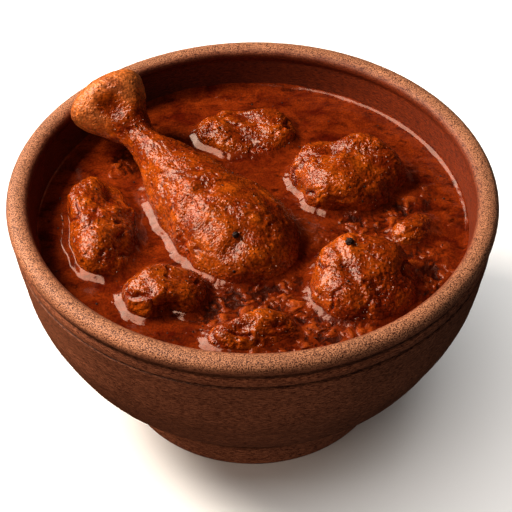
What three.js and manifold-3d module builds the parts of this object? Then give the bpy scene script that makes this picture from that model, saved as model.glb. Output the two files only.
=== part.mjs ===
// Chicken curry in a footed clay bowl: a drumstick and seven smaller pieces of chicken stand
// out of a thick sauce. The bowl is thrown in one piece, with a rolled rim, an incised line
// under it and a short straight foot.
// Millimetres, +Z up. The origin is the middle of the foot's underside. -Y is the front,
// and the drumstick's knuckle leans on the rim at the back left.

import * as THREE from "three";
import { mergeVertices } from "three/addons/utils/BufferGeometryUtils.js";
import Module from "manifold-3d";

const wasm = await Module();
wasm.setup();

// Bowl
const RIM_RADIUS = 90; // at the rim's widest line
const RIM_LEVEL = 92.5; // height of that line
const BEAD_HALF_WIDTH = 4.1; // the rolled rim is an oval bead
const BEAD_HALF_HEIGHT = 3.1;
const BAND_RADIUS = 88.6; // plain band between the bead and the incised line
const NECK_RADIUS = 87.9; // where the band tucks in under the bead
const NECK_DROP = 4.3; // from the rim's widest line down to the neck
const LINE_LEVEL = 83.6;
const LINE_DEPTH = 0.7;
const LINE_HALF_WIDTH = 0.8;
const SEAM_DEPTH = 0.6; // the foot is nicked in where it meets the belly
const FOOT_RADIUS = 52.6;
const FOOT_HEIGHT = 16.2;
const FOOT_EDGE = 1.4; // bevel round the underside
// Outside of the belly from the foot up, as [radius, height].
const BELLY = [
  [53.6, 16.8],
  [58.7, 21.8],
  [72.6, 34.5],
  [79.8, 47.3],
  [84.8, 60],
  [87.1, 72.8],
  [88.6, 82.8],
];
// Inside of the wall from the sauce's edge down to the middle of the floor.
const INSIDE = [
  [80, 80],
  [77.4, 61],
  [70, 41],
  [56, 25],
  [36, 15],
  [0, 11],
];
const BOWL_SEGMENTS = 56;
const BEAD_STEPS = 9;
const BEAD_START = -60; // the bead's section runs between these angles, over its top
const BEAD_END = 210;
const BELLY_STEPS = 8;
const INSIDE_STEPS = 8;

// Sauce
const [SAUCE_RADIUS, SAUCE_LEVEL] = INSIDE[0];
const CREEP = 0.7; // how far the sauce climbs the wall
const CREEP_WIDTH = 3.2;
const MOUND = 1.3; // how far it is heaped against a piece
const MOUND_WIDTH = 7;
const SWIRL = 0.35; // slow unevenness of its surface
const SAUCE_RINGS = 7;
const SAUCE_SEGMENTS = 48;

const GAP = 0.3; // between neighbours that touch
const ROOM = 1; // by which the sauce's hollows are larger than the pieces in them
const ROOM_FACES = 3; // the smaller pieces' hollows are cut more coarsely than the pieces

// Drumstick, from the knuckle's end to the end of the meat. A station gives the distance from
// the knuckle's end, and half the thickness level with the bowl and upright.
const KNUCKLE_END = new THREE.Vector3(-60.5, 51, 102);
const SPINE = [
  KNUCKLE_END,
  new THREE.Vector3(-43.5, 31, 94),
  new THREE.Vector3(-24.5, 10, 84.5),
  new THREE.Vector3(-6, -11.5, 76),
  new THREE.Vector3(11, -34.5, 72),
];
const DRUMSTICK_STATIONS = [
  { along: 0, level: 15, upright: 12 },
  { along: 11, level: 15, upright: 12.5 },
  { along: 20, level: 9.5, upright: 9.5 },
  { along: 29, level: 6.2, upright: 6.6 },
  { along: 42, level: 9.8, upright: 10.5 },
  { along: 60, level: 16.4, upright: 16.6 },
  { along: 80, level: 22, upright: 20.6 },
  { along: 100, level: 23.5, upright: 21.5 },
  { along: 122, level: 20.5, upright: 18 },
];
const KNUCKLE_CAP = 8; // length over which each end rounds off
const MEAT_CAP = 32;
const SHANK_LENGTH = 45; // over which the crags grow from none
const DRUMSTICK_SIDES = 24;
const DRUMSTICK_SECTIONS = 28;
// Swells and hollows of the drumstick: where along it, how far round from its left side
// over the top, how high, and how wide each way.
const DRUMSTICK_SWELLS = [
  { along: 16, round: 62, by: -3.2, length: 5, arc: 26 }, // hollow between the two condyles
  { along: 8, round: 8, by: 1.4, length: 8, arc: 30 },
  { along: 8, round: 125, by: 1.2, length: 8, arc: 30 },
  { along: 70, round: 60, by: 2, length: 16, arc: 38 },
  { along: 84, round: 140, by: 1, length: 16, arc: 40 },
  { along: 97, round: 62, by: -1.4, length: 3, arc: 14 }, // pit in the meat
  { along: 106, round: 46, by: 1.8, length: 5, arc: 30 }, // fold across the end of the meat
  { along: 115, round: 70, by: -1.8, length: 6, arc: 36 },
];

// Smaller pieces: a rounded block with its middle at `at`, half its length, width and height in
// `half`, and its length turned `turn` degrees from +X. Each swell is a place on it, as an
// azimuth and elevation in its own axes, with a height in mm (a hollow is below zero) and a
// width in degrees.
const PIECES = {
  chicken_left: {
    at: [-54.5, -7, 75.5],
    half: [26.5, 12.5, 15.5],
    turn: 95,
    blocky: 2.5,
    faces: 5,
    swells: [
      { toward: [22, 40], by: 2.4, width: 20 }, // raised fold along the upper left
      { toward: [62, 36], by: 3, width: 24 },
      { toward: [-35, 54], by: -5.5, width: 32 }, // dip inside the fold
      { toward: [140, 52], by: 3, width: 36 }, // nearer lobe
      { toward: [-75, 66], by: 1.8, width: 15 },
      { toward: [-140, 42], by: -2.8, width: 22 },
      { toward: [150, 0], by: -2.5, width: 26 },
    ],
  },
  chicken_front_left: {
    at: [-31, -42.5, 78],
    half: [14.5, 11.5, 12],
    turn: 8,
    blocky: 2.3,
    faces: 4,
    swells: [
      { toward: [172, 42], by: 2, width: 34 },
      { toward: [100, 48], by: 2, width: 20 }, // ridge at the back
      { toward: [-88, 28], by: -4.5, width: 20 }, // pit in the near side
      { toward: [-100, 55], by: 1.4, width: 14 },
      { toward: [0, 58], by: -1.4, width: 26 },
      { toward: [15, 25], by: 1.2, width: 28 },
    ],
  },
  chicken_front: {
    at: [0, -60.5, 75.5],
    half: [17.5, 9, 10.5],
    turn: 12,
    blocky: 2.2,
    faces: 4,
    swells: [
      { toward: [50, 60], by: 2.2, width: 26 },
      { toward: [178, 50], by: 1.8, width: 24 },
      { toward: [175, 78], by: -2, width: 14 }, // gap between the two ridges
      { toward: [-60, 55], by: -1.4, width: 22 },
    ],
  },
  chicken_right_upper: {
    at: [37.5, 19, 75],
    half: [21.5, 18.5, 18],
    turn: 15,
    blocky: 2.3,
    faces: 5,
    swells: [
      { toward: [-150, 45], by: 2.4, width: 32 }, // nearer lobe
      { toward: [150, 25], by: 2.6, width: 26 }, // low lobe at the far left
      { toward: [-174, 26], by: -1.8, width: 12 }, // step between those two
      { toward: [120, 36], by: 3.6, width: 24 },
      { toward: [124, 60], by: -3.6, width: 10 }, // pit near the top
      { toward: [80, 60], by: 2, width: 15 }, // ridge that curls round the pit
      { toward: [50, 55], by: 2.8, width: 17 },
      { toward: [18, 50], by: 2, width: 15 },
      { toward: [-14, 42], by: 2, width: 14 },
      { toward: [-60, 68], by: -2, width: 18 },
      { toward: [-42, 28], by: -2.6, width: 20 },
      { toward: [-118, 12], by: -3, width: 24 }, // undercut at the waterline
    ],
  },
  chicken_right_lower: {
    at: [39.5, -36, 74],
    half: [20.5, 19.5, 18],
    turn: -20,
    blocky: 2.3,
    faces: 5,
    swells: [
      { toward: [145, 46], by: 2.4, width: 34 },
      { toward: [-128, 72], by: -1.2, width: 14 }, // dip near the top
      { toward: [118, 55], by: 2, width: 22 },
      { toward: [60, 55], by: 2.6, width: 20 }, // ridge at the back right
      { toward: [5, 50], by: -2, width: 20 },
      { toward: [-52, 50], by: -1.8, width: 18 },
      { toward: [-100, 34], by: 1.6, width: 22 },
      { toward: [175, 2], by: -2.4, width: 28 },
    ],
  },
  chicken_right_small: {
    at: [59.5, -8, 76.5],
    half: [11.5, 8, 8.5],
    turn: 38,
    blocky: 2,
    faces: 3,
    swells: [
      { toward: [-35, 40], by: -1.8, width: 28 },
      { toward: [150, 50], by: 1.2, width: 30 },
    ],
  },
  chicken_back: {
    at: [-2.5, 48.5, 75],
    half: [21.5, 15.5, 11],
    turn: 0,
    blocky: 2.2,
    faces: 4,
    swells: [
      { toward: [-168, 50], by: 2.4, width: 28 }, // lobe at the left
      { toward: [45, 52], by: 2, width: 18 }, // ridge at the right
      { toward: [-5, 56], by: 2, width: 16 },
      { toward: [100, 78], by: -2, width: 18 },
      { toward: [-88, 62], by: -1.8, width: 20 },
      { toward: [-138, 12], by: -3, width: 22 }, // undercut at the waterline
    ],
  },
};

// Crags all over the meat, as waves: radians per mm along each axis.
const CRAG_WAVES = [
  { along: [0.42, 0.31, 0.12], shift: 0.4 },
  { along: [-0.18, 0.37, -0.29], shift: 2.1 },
  { along: [0.26, -0.4, 0.34], shift: 5 },
];
const CRAG_BEND = 1.2;
const CRAG_HEIGHT = 0.9;

// Peppercorns caught in the coating: on which piece, where they lie and how large they are.
const PEPPERCORNS = [
  { on: "chicken_right_lower", at: [34.5, -28.5], radius: 1.6 },
  { on: "drumstick", at: [-6, -24], radius: 1.3 },
];

const CLAY = new THREE.MeshStandardMaterial({ color: "#8a5a42", roughness: 0.85, metalness: 0 });
const GRAVY = new THREE.MeshStandardMaterial({ color: "#7a2a0e", roughness: 0.25, metalness: 0 });
const CHICKEN = new THREE.MeshStandardMaterial({ color: "#a4481a", roughness: 0.35, metalness: 0 });

const radians = THREE.MathUtils.degToRad;

// A closed geometry as a manifold solid.
function solidOf(geometry) {
  const bare = geometry.clone();
  bare.deleteAttribute("normal");
  bare.deleteAttribute("uv");
  const merged = mergeVertices(bare, 1e-4);
  const corners = merged.index.array;
  const kept = [];
  for (let i = 0; i < corners.length; i += 3) {
    const [a, b, c] = corners.slice(i, i + 3);
    if (a !== b && b !== c && c !== a) kept.push(a, b, c);
  }
  return new wasm.Manifold(
    new wasm.Mesh({
      numProp: 3,
      vertProperties: merged.attributes.position.array,
      triVerts: new Uint32Array(kept),
    }),
  );
}

// A manifold solid as a geometry.
function geometryOf(solid) {
  const mesh = solid.getMesh();
  const geometry = new THREE.BufferGeometry();
  geometry.setAttribute("position", new THREE.BufferAttribute(mesh.vertProperties, mesh.numProp));
  geometry.setIndex(new THREE.BufferAttribute(mesh.triVerts, 1));
  geometry.computeVertexNormals();
  return geometry;
}

function named(name, geometry, material) {
  const mesh = new THREE.Mesh(geometry, material);
  mesh.name = name;
  return mesh;
}

// Moves each vertex of a geometry to where `place` puts it.
function reshaped(geometry, place) {
  const spots = geometry.attributes.position;
  const spot = new THREE.Vector3();
  for (let i = 0; i < spots.count; i += 1) {
    spot.fromBufferAttribute(spots, i);
    place(spot);
    spots.setXYZ(i, spot.x, spot.y, spot.z);
  }
  return geometry;
}

// A turned shape about +Z from an outline of (radius, height) points.
function turned(outline, segments) {
  return new THREE.LatheGeometry(outline, segments).rotateX(Math.PI / 2);
}

// Points along a smooth curve through a few outline points.
function smoothRun(points, steps) {
  return new THREE.SplineCurve(points.map(([r, z]) => new THREE.Vector2(r, z))).getPoints(steps);
}

// The inside of the bowl, from the sauce's edge down to the middle of the floor.
function insideRun(clearance) {
  const run = smoothRun(INSIDE, INSIDE_STEPS);
  run.forEach((point, i) => {
    if (i < run.length - 1) point.x -= clearance;
    if (i > 1) point.y += clearance;
  });
  return run;
}

function bowlOutline() {
  const beadRadius = RIM_RADIUS - BEAD_HALF_WIDTH;
  const bead = new THREE.EllipseCurve(
    beadRadius,
    RIM_LEVEL,
    BEAD_HALF_WIDTH,
    BEAD_HALF_HEIGHT,
    radians(BEAD_START),
    radians(BEAD_END),
  ).getPoints(BEAD_STEPS);
  return [
    new THREE.Vector2(0, 0),
    new THREE.Vector2(FOOT_RADIUS - FOOT_EDGE, 0),
    new THREE.Vector2(FOOT_RADIUS, FOOT_EDGE),
    new THREE.Vector2(FOOT_RADIUS, FOOT_HEIGHT - 2 * SEAM_DEPTH),
    new THREE.Vector2(FOOT_RADIUS - SEAM_DEPTH, FOOT_HEIGHT),
    ...smoothRun(BELLY, BELLY_STEPS),
    new THREE.Vector2(BAND_RADIUS - LINE_DEPTH, LINE_LEVEL),
    new THREE.Vector2(BAND_RADIUS, LINE_LEVEL + LINE_HALF_WIDTH),
    new THREE.Vector2(NECK_RADIUS, RIM_LEVEL - NECK_DROP),
    ...bead,
    ...insideRun(0),
  ];
}

function makeBowl() {
  return named("bowl", turned(bowlOutline(), BOWL_SEGMENTS), CLAY);
}

// A value at x on a smooth run through stations sorted by `along`.
function between(stations, along, key) {
  const last = stations.length - 1;
  let i = 0;
  while (i < last - 1 && stations[i + 1].along < along) i += 1;
  const share = (along - stations[i].along) / (stations[i + 1].along - stations[i].along);
  const eased = THREE.MathUtils.clamp(share, 0, 1);
  const before = stations[Math.max(i - 1, 0)][key];
  const after = stations[Math.min(i + 2, last)][key];
  const [a, b] = [stations[i][key], stations[i + 1][key]];
  const [startSlope, endSlope] = [(b - before) / 2, (after - a) / 2];
  const [t2, t3] = [eased ** 2, eased ** 3];
  return (
    a * (2 * t3 - 3 * t2 + 1) +
    b * (3 * t2 - 2 * t3) +
    startSlope * (t3 - 2 * t2 + eased) +
    endSlope * (t3 - t2)
  );
}

// Crags of cooked meat at a point, between -1 and 1.
function crags(point) {
  const total = CRAG_WAVES.reduce((sum, { along, shift }) => {
    const phase = along[0] * point.x + along[1] * point.y + along[2] * point.z + shift;
    return sum + Math.sin(phase + CRAG_BEND * Math.sin(phase / 2));
  }, 0);
  return total / CRAG_WAVES.length;
}

// Part of a circle's height at `from` its edge, over a cap of the given length.
function capShare(from, length) {
  const inner = 1 - Math.min(Math.max(from, 0) / length, 1);
  return Math.sqrt(Math.max(1 - inner * inner, 0));
}

function drumstickGeometry(grow) {
  const spine = new THREE.CatmullRomCurve3(SPINE, false, "centripetal");
  const length = spine.getLength();
  const up = new THREE.Vector3(0, 0, 1);
  const shape = new THREE.SphereGeometry(1, DRUMSTICK_SIDES, DRUMSTICK_SECTIONS);
  return reshaped(shape, (spot) => {
    const share = (1 - spot.y) / 2;
    const around = Math.atan2(-spot.z, spot.x);
    const along = share * length;
    const middle = spine.getPointAt(share);
    const ahead = spine.getTangentAt(share);
    const left = new THREE.Vector3().crossVectors(ahead, up).normalize();
    const over = new THREE.Vector3().crossVectors(left, ahead);
    const cap = capShare(along, KNUCKLE_CAP) * capShare(length - along, MEAT_CAP);
    let swell = 0;
    for (const one of DRUMSTICK_SWELLS) {
      const turn = Math.atan2(
        Math.sin(around - radians(one.round)),
        Math.cos(around - radians(one.round)),
      );
      const spread = ((along - one.along) / one.length) ** 2 + (turn / radians(one.arc)) ** 2;
      swell += one.by * Math.exp(-spread);
    }
    const level = between(DRUMSTICK_STATIONS, along, "level") + swell;
    const upright = between(DRUMSTICK_STATIONS, along, "upright") + swell;
    const place = (extra) => {
      spot.copy(middle);
      spot.addScaledVector(left, (level + extra) * cap * Math.cos(around));
      spot.addScaledVector(over, (upright + extra) * cap * Math.sin(around));
    };
    place(0);
    place(grow + CRAG_HEIGHT * crags(spot) * Math.min(along / SHANK_LENGTH, 1));
    spot.addScaledVector(ahead, grow * (2 * share - 1));
  });
}

function pieceGeometry(piece, grow, faces) {
  const shape = new THREE.IcosahedronGeometry(1, faces);
  const places = piece.swells.map(({ toward: [azimuth, elevation] }) =>
    new THREE.Vector3().setFromSphericalCoords(1, radians(90 - elevation), radians(90 + azimuth)),
  );
  places.forEach((place) => place.set(place.x, -place.z, place.y));
  return reshaped(shape, (spot) => {
    const away = spot.clone();
    const { blocky } = piece;
    const sum = Math.abs(away.x) ** blocky + Math.abs(away.y) ** blocky + Math.abs(away.z) ** blocky;
    const share = sum ** (-1 / blocky);
    let swell = 0;
    piece.swells.forEach((one, i) => {
      swell += one.by * Math.exp(-((away.angleTo(places[i]) / radians(one.width)) ** 2));
    });
    spot.set(away.x * piece.half[0], away.y * piece.half[1], away.z * piece.half[2]);
    spot.multiplyScalar(share);
    spot.addScaledVector(away, swell + CRAG_HEIGHT * crags(spot) + grow);
  });
}

function peppercornGeometry(radius) {
  return new THREE.IcosahedronGeometry(radius, 1);
}

// Fuses the peppercorns that lie on a piece to it, sunk to a third of their height.
function withPeppercorns(name, geometry, matrix) {
  let body = solidOf(geometry.clone().applyMatrix4(matrix));
  for (const corn of PEPPERCORNS.filter(({ on }) => on === name)) {
    const [x, y] = corn.at;
    const ray = new THREE.Raycaster(new THREE.Vector3(x, y, 200), new THREE.Vector3(0, 0, -1));
    const target = new THREE.Mesh(geometryOf(body), new THREE.MeshBasicMaterial());
    const [hit] = ray.intersectObject(target);
    const level = hit.point.z + corn.radius / 3;
    const ball = peppercornGeometry(corn.radius).translate(x, y, level);
    body = body.add(solidOf(ball));
  }
  return geometryOf(body);
}

function placeOf(piece) {
  const place = new THREE.Object3D();
  place.position.fromArray(piece.at);
  place.rotation.z = radians(piece.turn);
  place.updateMatrix();
  return place.matrix;
}

function makeDrumstick() {
  const body = withPeppercorns("drumstick", drumstickGeometry(0), new THREE.Matrix4());
  return named("drumstick", body, CHICKEN);
}

function makePiece(name) {
  const piece = PIECES[name];
  const body = withPeppercorns(name, pieceGeometry(piece, 0, piece.faces), placeOf(piece));
  return named(name, body, CHICKEN);
}

// How far a point is outside a piece's edge at the sauce's level, in mm.
function outside(piece, x, y) {
  const turn = radians(piece.turn);
  const [dx, dy] = [x - piece.at[0], y - piece.at[1]];
  const along = (dx * Math.cos(turn) + dy * Math.sin(turn)) / piece.half[0];
  const across = (dy * Math.cos(turn) - dx * Math.sin(turn)) / piece.half[1];
  return (Math.hypot(along, across) - 1) * Math.min(piece.half[0], piece.half[1]);
}

// The height of the sauce's surface: it climbs the wall, is heaped against the pieces and
// is never quite level.
function sauceHeight(x, y) {
  const fromWall = SAUCE_RADIUS - Math.hypot(x, y);
  let height = SAUCE_LEVEL + SWIRL * Math.sin(0.16 * x + 1) * Math.cos(0.19 * y);
  height += CREEP * Math.exp(-fromWall / CREEP_WIDTH);
  for (const piece of Object.values(PIECES)) {
    const away = Math.max(outside(piece, x, y), 0);
    height += MOUND * Math.exp(-((away / MOUND_WIDTH) ** 2));
  }
  return height;
}

function sauceBlank() {
  const edge = SAUCE_RADIUS - GAP;
  const inside = insideRun(GAP).reverse();
  const top = [new THREE.Vector2(edge, SAUCE_LEVEL + CREEP)];
  for (let ring = SAUCE_RINGS; ring >= 0; ring -= 1) {
    top.push(new THREE.Vector2(((edge - CREEP_WIDTH) * ring) / SAUCE_RINGS, SAUCE_LEVEL));
  }
  const blank = turned([...inside.slice(0, -1), ...top], SAUCE_SEGMENTS);
  return reshaped(blank, (spot) => {
    if (spot.z > SAUCE_LEVEL - 0.5) spot.z = sauceHeight(spot.x, spot.y);
  });
}

function makeSauce() {
  let sauce = solidOf(sauceBlank());
  sauce = sauce.subtract(solidOf(drumstickGeometry(ROOM)));
  for (const piece of Object.values(PIECES)) {
    const room = pieceGeometry(piece, ROOM, ROOM_FACES).applyMatrix4(placeOf(piece));
    sauce = sauce.subtract(solidOf(room));
  }
  return named("sauce", geometryOf(sauce), GRAVY);
}

const curry = new THREE.Group();
curry.add(makeBowl());
curry.add(makeSauce());
curry.add(makeDrumstick());
Object.keys(PIECES).forEach((name) => curry.add(makePiece(name)));

export default curry;
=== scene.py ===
# Chicken curry in a footed clay bowl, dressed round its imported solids.
# +Z up, -Y to the front. Lengths are written in millimetres and turned to metres as meshes are made.
import math
import random

import bmesh
import bpy
from mathutils import Matrix, Quaternion, Vector, noise
from mathutils.bvhtree import BVHTree


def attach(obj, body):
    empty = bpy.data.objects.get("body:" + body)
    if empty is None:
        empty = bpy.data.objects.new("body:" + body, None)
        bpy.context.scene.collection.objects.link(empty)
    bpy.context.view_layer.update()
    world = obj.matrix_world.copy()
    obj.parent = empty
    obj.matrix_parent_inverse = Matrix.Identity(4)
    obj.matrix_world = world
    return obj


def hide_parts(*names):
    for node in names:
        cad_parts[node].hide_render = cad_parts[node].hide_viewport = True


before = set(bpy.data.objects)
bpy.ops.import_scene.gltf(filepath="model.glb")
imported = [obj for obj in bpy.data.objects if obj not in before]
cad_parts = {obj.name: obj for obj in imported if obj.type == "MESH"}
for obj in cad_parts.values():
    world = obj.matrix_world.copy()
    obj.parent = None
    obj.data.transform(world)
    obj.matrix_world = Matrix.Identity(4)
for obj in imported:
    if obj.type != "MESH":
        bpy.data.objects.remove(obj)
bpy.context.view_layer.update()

MM = 0.001
UP = Vector((0, 0, 1))
COARSE = 1
WEDGES = 12  # a turned shape is spun as one wedge and copied round
SLANT = Vector((1, 3.1, 9.7))  # its faces are sorted this way, as a spin leaves them in no fixed order

# Bowl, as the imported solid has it
RIM_RADIUS = 90
RIM_LEVEL = 92.5  # of the middle of the rim's bead
BEAD_HALF_WIDTH = 4.1
BEAD_HALF_HEIGHT = 3.1
BEAD_START, BEAD_END, BEAD_STEP = -60, 210, 10  # degrees, from the bead's outer side over its top
BEAD_MIDDLE = RIM_RADIUS - BEAD_HALF_WIDTH
LINE_RADIUS = 88.6
LINE_LEVEL = 83.6
LINE_DEPTH = 0.8
LINE_HALF_WIDTH = 0.8
NECK = [(LINE_RADIUS, 84.6), (LINE_RADIUS, 86.4), (87.9, 87.7), (87.8, 88.8)]  # in under the bead
BELLY = [(53.6, 16.8), (58.7, 21.8), (72.6, 34.5), (79.8, 47.3), (84.8, 60), (87.1, 72.8), (88.6, 82.8)]
FOOT_RADIUS = 52.6
FOOT_HEIGHT = 16.2
FOOT = [(0, 0), (51.2, 0), (52.3, 0.5), (FOOT_RADIUS, 1.4), (FOOT_RADIUS, 15), (52, FOOT_HEIGHT)]
INSIDE = [(80, 80), (77.4, 61), (70, 41), (56, 25), (36, 15), (0, 11)]
BOTTOM_RADIUS, BOTTOM_LEVEL = 50, 5  # within this radius, what is higher than this faces up
BOWL_STEP = 1.0 * COARSE  # between points of the spun outline
BOWL_TURNS = 288 // COARSE  # steps round the spin

# Unevenness of the clay: height, waves round, rise of a wave and shifts of the pattern
THROWN = [(0.16, 0.9, 3.1, 0, 0), (0.1, 1.53, 1.3, 0, 9), (0.3, 1.08, 30, 4, 0)]
GRIT_HEIGHT, GRIT_SIZE = 0.05, 1.4
FLAT_LEVELS = (0.2, 2.5)  # the foot's underside is flat, and unevenness comes in over these levels

# Where the clay's colours and its painted highlight and shade lie, by levels and by degrees over the bead,
# from 0 outside to 180 inside
BEAD_WAVER = 14  # by how many degrees those places waver
SANDY_LEVEL = RIM_LEVEL - 3.4  # the lowest that is sandy
# sandy crest is partly its own colour and partly a painted highlight; darker bead sides are painted shade
SANDY_STARTS, SANDY_FADES_INTO_SHADE, SANDY_SHADE_SHARE = (-20, 50), (98, 142), 0.75
SOAKED_STARTS = (118, 172)
INSIDE_SHADE_STARTS, INSIDE_SHADE = (110, 170), 0.62
INSIDE_SHADE_SIDE, INSIDE_SHADE_SPREAD = (-0.57, 0.82), (-0.1, 0.8)  # painted shade on the inside, darkest towards the back left
CREASE_LEVELS = (LINE_LEVEL, 88.3)  # painted shade in the creases: the incised line and the neck under the bead
CREASE_REACH = (0.3, 1.1)
FOOT_SHADE_LEVELS, FOOT_SHADE = (8.6, 10.1), 0.9  # and painted shade on the foot, high up under the belly

# Sauce
SAUCE_RADIUS, SAUCE_LEVEL = INSIDE[0]
INTO_WALL = 0.5  # the sauce reaches this far into the clay, so that no gap shows
SAUCE_TURNS = 444 // COARSE
SAUCE_STEP = 0.44 * COARSE
SAUCE_UNDER_STEP = 6  # on its underside, which is hidden
MENISCUS_WIDTH = 2.9  # how far from a piece the sauce starts to climb it
MENISCUS_HEIGHT = 1.75
MENISCUS_WAVER = [(0.35, 9, 2.2), (0.3, 2.6, 7.7), (0.2, 1.3, 3)]  # share of the width, size and seed
CLINGING_REACH = 1.5 * MENISCUS_WIDTH  # nearer than this to a piece, the sauce is smoothed
FAR_FROM_MEAT = 12  # from here on the meat makes no difference to the sauce
MENISCUS_TOE = 0.25  # of the width, over which the flat turns up into an even slope
WALL_MENISCUS_WIDTH = 1.9
WALL_MENISCUS_HEIGHT = 1.15
LEFT_WALL, LEFT_WALL_SHARE = (-60, -20), 0.4  # it is lower on the wall's left
MASALA = [  # where the sauce is lumpiest, and how far
    (12, -60, 26), (-6, -42, 14), (60, -32, 18), (30, -68, 18), (52, 0, 14), (-50, 30, 7), (40, -6, 9),
]
MASALA_EVERYWHERE, MASALA_WAVER = 0.06, 0.35
LUMP_HEIGHT = 0.9
LARGE_LUMPS, MIDDLING_LUMPS, SMALL_LUMPS = (1.1, 6.5), (1.9, 3.4), (1.1, 1.7)  # height and size
LUMPS_SUNK = 0.7  # by which they are lowered, to stand about as much above the level as below
LUMP_WARP, LUMP_WARP_SIZE = 1.5, 4
CREVICE_RELIEF, CREST_RELIEF = -0.12, 0.25  # what lies lower or stands higher has little oil on it
SWIRL, SWIRL_ASIDE, SWIRL_ALONG = 0.35, 0.16, 0.19  # height, and radians a mm
WAVES, FINE_WAVES = 0.35, 0.08
CALM_BY_MEAT, CALM_BY_WALL = (1.5, 7), (1.5, 6)  # over these distances the swirl and waves come in
LUMPS_BY_WALL, LUMPS_BY_MEAT, LUMPS_LEFT = (-0.5, 2.5), (0.5, 4), 0.3  # and so do most of the lumps

# Peppercorns: on which piece, where, and radius
PEPPERCORNS = [("chicken_right_lower", 34.5, -28.5, 1.6), ("drumstick", -6, -24, 1.3)]
PEPPER_CORE, PEPPER_WRINKLES = 0.84, 0.36  # shares of the radius
PEPPER_STANDS = 0.15  # of the radius, by which the middle is above the meat
HIGH_UP = 130  # above all that is in the bowl

# Flecks of cracked spice
FLECKS = 130
FLECK_REACH = 77  # from the bowl's middle
FLECK_SIZES = (0.28, 0.7)  # radius, and most are near the smaller
FLECK_HEIGHT = 0.5  # share of its width
FLECK_SEED = 11

# Drumstick
SPINE = [(-60.5, 51, 102), (-43.5, 31, 94), (-24.5, 10, 84.5), (-6, -11.5, 76), (11, -34.5, 72)]
SPINE_STEPS = 400
DRUMSTICK_BALL = 100  # radius of the ball that is drawn out along the spine
DRUMSTICK_ROWS = 280 // COARSE
DRUMSTICK_TURNS = 320 // COARSE
DRUMSTICK_STATIONS = [  # along the bone, half thickness level with the bowl and upright
    (0, 15, 12), (11, 15, 12.5), (20, 9.5, 9.5), (29, 6.2, 6.6), (42, 9.8, 10.5), (60, 16.4, 16.6),
    (80, 22, 20.6), (100, 23.5, 21.5), (122, 20.5, 18),
]
KNUCKLE_CAP = 8
MEAT_CAP = 32
SHANK_LENGTH = 45
DRUMSTICK_SWELLS = [  # along, round from the near side over the top, height, length, arc
    (16, 62, -3.2, 5, 26), (8, 8, 1.4, 8, 30), (8, 125, 1.2, 8, 30), (70, 60, 2, 16, 38),
    (84, 140, 1, 16, 40), (97, 62, -1.4, 3, 14), (106, 46, 1.8, 5, 30), (115, 70, -1.8, 6, 36),
]
DRUMSTICK_SAUCE_AND_SHADE_SPOTS = [  # dark spots of sauce and painted shade: along, round, length, arc
    (16, 62, 6, 26), (97, 64, 4, 16), (118, 100, 11, 80), (100, 158, 24, 34), (60, 165, 24, 30),
    (26, 120, 6, 60), (112, 22, 14, 50), (90, 126, 18, 22),
]
BARE_SKIN_ENDS, BARE_SKIN_WAVER = (13, 22), 3  # along the bone: the knuckle's skin is bare up to there
DARK_SPOTS_HIDE_SKIN = (0.2, 0.6)
KNUCKLE_RELIEF = 0.5  # the relief's strength on the knuckle, to which these add with distance from it
SHANK_RELIEF, SHANK_FROM_KNUCKLE = 0.5, (15, 35)
MEAT_END_RELIEF, MEAT_END_FROM_KNUCKLE = 0.4, (85, 115)

# Smaller pieces: middle, half sizes, turn, squareness, and swells as azimuth, elevation, height, width
PIECES = {
    "chicken_left": dict(at=(-54.5, -7, 75.5), half=(26.5, 12.5, 15.5), turn=95, blocky=2.5, swells=[
        (22, 40, 2.4, 20), (62, 36, 3, 24), (-35, 54, -5.5, 32), (140, 52, 3, 36), (-75, 66, 1.8, 15),
        (-140, 42, -2.8, 22), (150, 0, -2.5, 26)]),
    "chicken_front_left": dict(at=(-31, -42.5, 78), half=(14.5, 11.5, 12), turn=8, blocky=2.3, swells=[
        (172, 42, 2, 34), (100, 48, 2, 20), (-88, 28, -4.5, 20), (-100, 55, 1.4, 14), (0, 58, -1.4, 26),
        (15, 25, 1.2, 28)]),
    "chicken_front": dict(at=(0, -60.5, 75.5), half=(17.5, 9, 10.5), turn=12, blocky=2.2, swells=[
        (50, 60, 2.2, 26), (178, 50, 1.8, 24), (175, 78, -2, 14), (-60, 55, -1.4, 22)]),
    "chicken_right_upper": dict(at=(37.5, 19, 75), half=(21.5, 18.5, 18), turn=15, blocky=2.3, swells=[
        (-150, 45, 2.4, 32), (150, 25, 2.6, 26), (-174, 26, -1.8, 12), (120, 36, 3.6, 24),
        (124, 60, -3.6, 10), (80, 60, 2, 15), (50, 55, 2.8, 17), (18, 50, 2, 15), (-14, 42, 2, 14),
        (-60, 68, -2, 18), (-42, 28, -2.6, 20), (-118, 12, -3, 24)]),
    "chicken_right_lower": dict(at=(39.5, -36, 74), half=(20.5, 19.5, 18), turn=-20, blocky=2.3, swells=[
        (145, 46, 2.4, 34), (-128, 72, -1.2, 14), (118, 55, 2, 22), (60, 55, 2.6, 20), (5, 50, -2, 20),
        (-52, 50, -1.8, 18), (-100, 34, 1.6, 22), (175, 2, -2.4, 28)]),
    "chicken_right_small": dict(at=(59.5, -8, 76.5), half=(11.5, 8, 8.5), turn=38, blocky=2, swells=[
        (-35, 40, -1.8, 28), (150, 50, 1.2, 30)]),
    "chicken_back": dict(at=(-2.5, 48.5, 75), half=(21.5, 15.5, 11), turn=0, blocky=2.2, swells=[
        (-168, 50, 2.4, 28), (45, 52, 2, 18), (-5, 56, 2, 16), (100, 78, -2, 18), (-88, 62, -1.8, 20),
        (-138, 12, -3, 22)]),
}
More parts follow.
